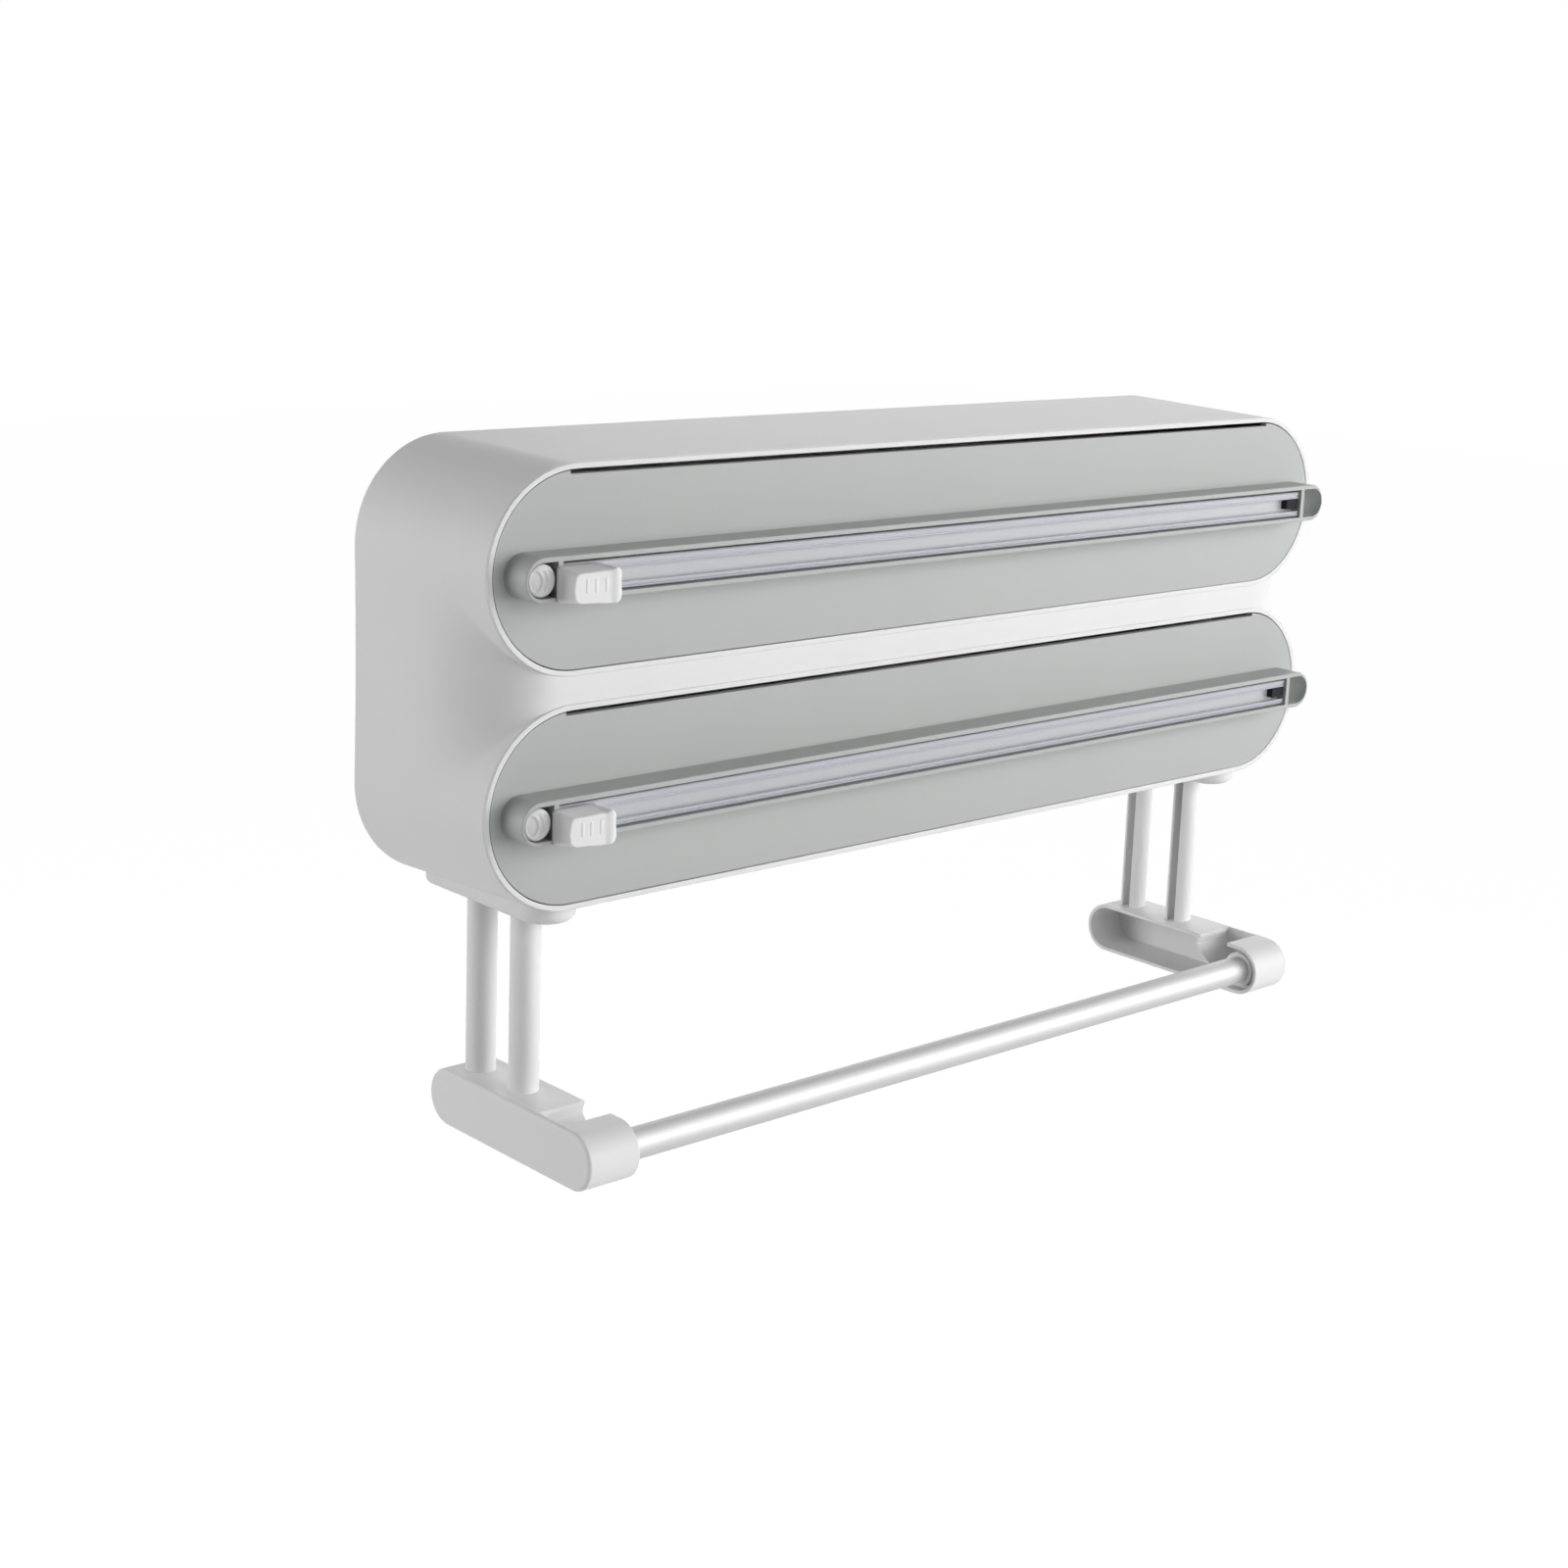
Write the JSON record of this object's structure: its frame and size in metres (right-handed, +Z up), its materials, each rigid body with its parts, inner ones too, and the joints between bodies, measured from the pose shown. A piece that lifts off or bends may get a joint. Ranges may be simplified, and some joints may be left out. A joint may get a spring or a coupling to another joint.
{
  "type": "wall mounted kitchen roll dispenser",
  "caption": "Wall-mounted dispenser with foil drawers, push-button latches, sliding film cutters and a height-adjustable kitchen roll bar.",
  "frame": {"origin": "centre of the flat wall face at the back", "axes": "+X to the right as seen from the front, +Y into the wall, +Z up"},
  "size_m": [0.4, 0.0938, 0.2287],
  "materials": {
    "shell_plastic": "satin white injection moulding",
    "front_plastic": "fine grained light grey green moulding",
    "tray_plastic": "plain white moulding",
    "guide_plastic": "plain acetal",
    "rail_clear": "clear extruded plastic",
    "stop_dark": "dark grey moulding",
    "cap_plastic": "smooth white moulding",
    "steel": "zinc plated screws and pins",
    "blade_steel": "ground strip steel",
    "brake_rubber": "soft moulded block",
    "arm_plastic": "satin white injection moulding",
    "bar_metal": "satin silver tube"
  },
  "bodies": {
    "housing": {"housing_shell": "shell_plastic", "back_plate": "shell_plastic", "back_plate_screws": "steel", "upper_left_runner": "guide_plastic", "upper_right_runner": "guide_plastic", "lower_left_runner": "guide_plastic", "lower_right_runner": "guide_plastic", "upper_keeper": "steel", "lower_keeper": "steel", "left_rod_guide": "guide_plastic", "right_rod_guide": "guide_plastic", "left_rod_brake": "brake_rubber", "right_rod_brake": "brake_rubber"},
    "roll_holder": {"left_arm": "arm_plastic", "right_arm": "arm_plastic", "left_yoke": "guide_plastic", "right_yoke": "guide_plastic", "yoke_screws": "steel"},
    "roll_bar": {"bar_tube": "bar_metal", "left_bar_cap": "arm_plastic", "right_bar_cap": "arm_plastic"},
    "upper_drawer": {"upper_front": "front_plastic", "upper_tray": "tray_plastic", "upper_tray_screws": "steel", "upper_cutter_rail": "rail_clear", "upper_rail_stop": "stop_dark", "upper_latch_pin": "steel", "upper_button_spring": "steel"},
    "upper_release_button": {"upper_button": "cap_plastic"},
    "upper_latch_lever": {"upper_latch": "guide_plastic"},
    "upper_cutter": {"upper_cutter_cap": "cap_plastic", "upper_cutter_shoe": "cap_plastic", "upper_cutter_blade": "blade_steel"},
    "lower_drawer": {"lower_front": "front_plastic", "lower_tray": "tray_plastic", "lower_tray_screws": "steel", "lower_cutter_rail": "rail_clear", "lower_rail_stop": "stop_dark", "lower_latch_pin": "steel", "lower_button_spring": "steel"},
    "lower_release_button": {"lower_button": "cap_plastic"},
    "lower_latch_lever": {"lower_latch": "guide_plastic"},
    "lower_cutter": {"lower_cutter_cap": "cap_plastic", "lower_cutter_shoe": "cap_plastic", "lower_cutter_blade": "blade_steel"}
  },
  "joints": [
    {"name": "upper_drawer_slide", "type": "slide", "parent": "housing", "child": "upper_drawer", "axis": [0, -1, 0], "range_m": [0, 0.05]},
    {"name": "upper_button_press", "type": "slide", "parent": "upper_drawer", "child": "upper_release_button", "axis": [0, 1, 0], "range_m": [0, 0.0025], "stiffness_N_per_m": 300, "springref_m": -0.001, "deforming": ["upper_button_spring"]},
    {"name": "upper_latch_turn", "type": "hinge", "parent": "upper_drawer", "child": "upper_latch_lever", "pos_m": [-0.1775, -0.059, 0.0373], "axis": [0, 0, 1], "range_deg": [-18.5, 0]},
    {"name": "upper_cutter_slide", "type": "slide", "parent": "upper_drawer", "child": "upper_cutter", "axis": [1, 0, 0], "range_m": [0, 0.338]},
    {"name": "lower_drawer_slide", "type": "slide", "parent": "housing", "child": "lower_drawer", "axis": [0, -1, 0], "range_m": [0, 0.05]},
    {"name": "lower_button_press", "type": "slide", "parent": "lower_drawer", "child": "lower_release_button", "axis": [0, 1, 0], "range_m": [0, 0.0025], "stiffness_N_per_m": 300, "springref_m": -0.001, "deforming": ["lower_button_spring"]},
    {"name": "lower_latch_turn", "type": "hinge", "parent": "lower_drawer", "child": "lower_latch_lever", "pos_m": [-0.1775, -0.059, -0.0373], "axis": [0, 0, 1], "range_deg": [-18.5, 0]},
    {"name": "lower_cutter_slide", "type": "slide", "parent": "lower_drawer", "child": "lower_cutter", "axis": [1, 0, 0], "range_m": [0, 0.338]},
    {"name": "roll_holder_slide", "type": "slide", "parent": "housing", "child": "roll_holder", "axis": [0, 0, 1], "range_m": [0, 0.056]},
    {"name": "roll_bar_spin", "type": "hinge", "parent": "roll_holder", "child": "roll_bar", "pos_m": [0, -0.084, -0.1466], "axis": [1, 0, 0], "continuous": true}
  ],
  "couplings": [
    {"joint": "upper_latch_turn", "follows": "upper_button_press", "rad_per_m": -121},
    {"joint": "lower_latch_turn", "follows": "lower_button_press", "rad_per_m": -121}
  ]
}
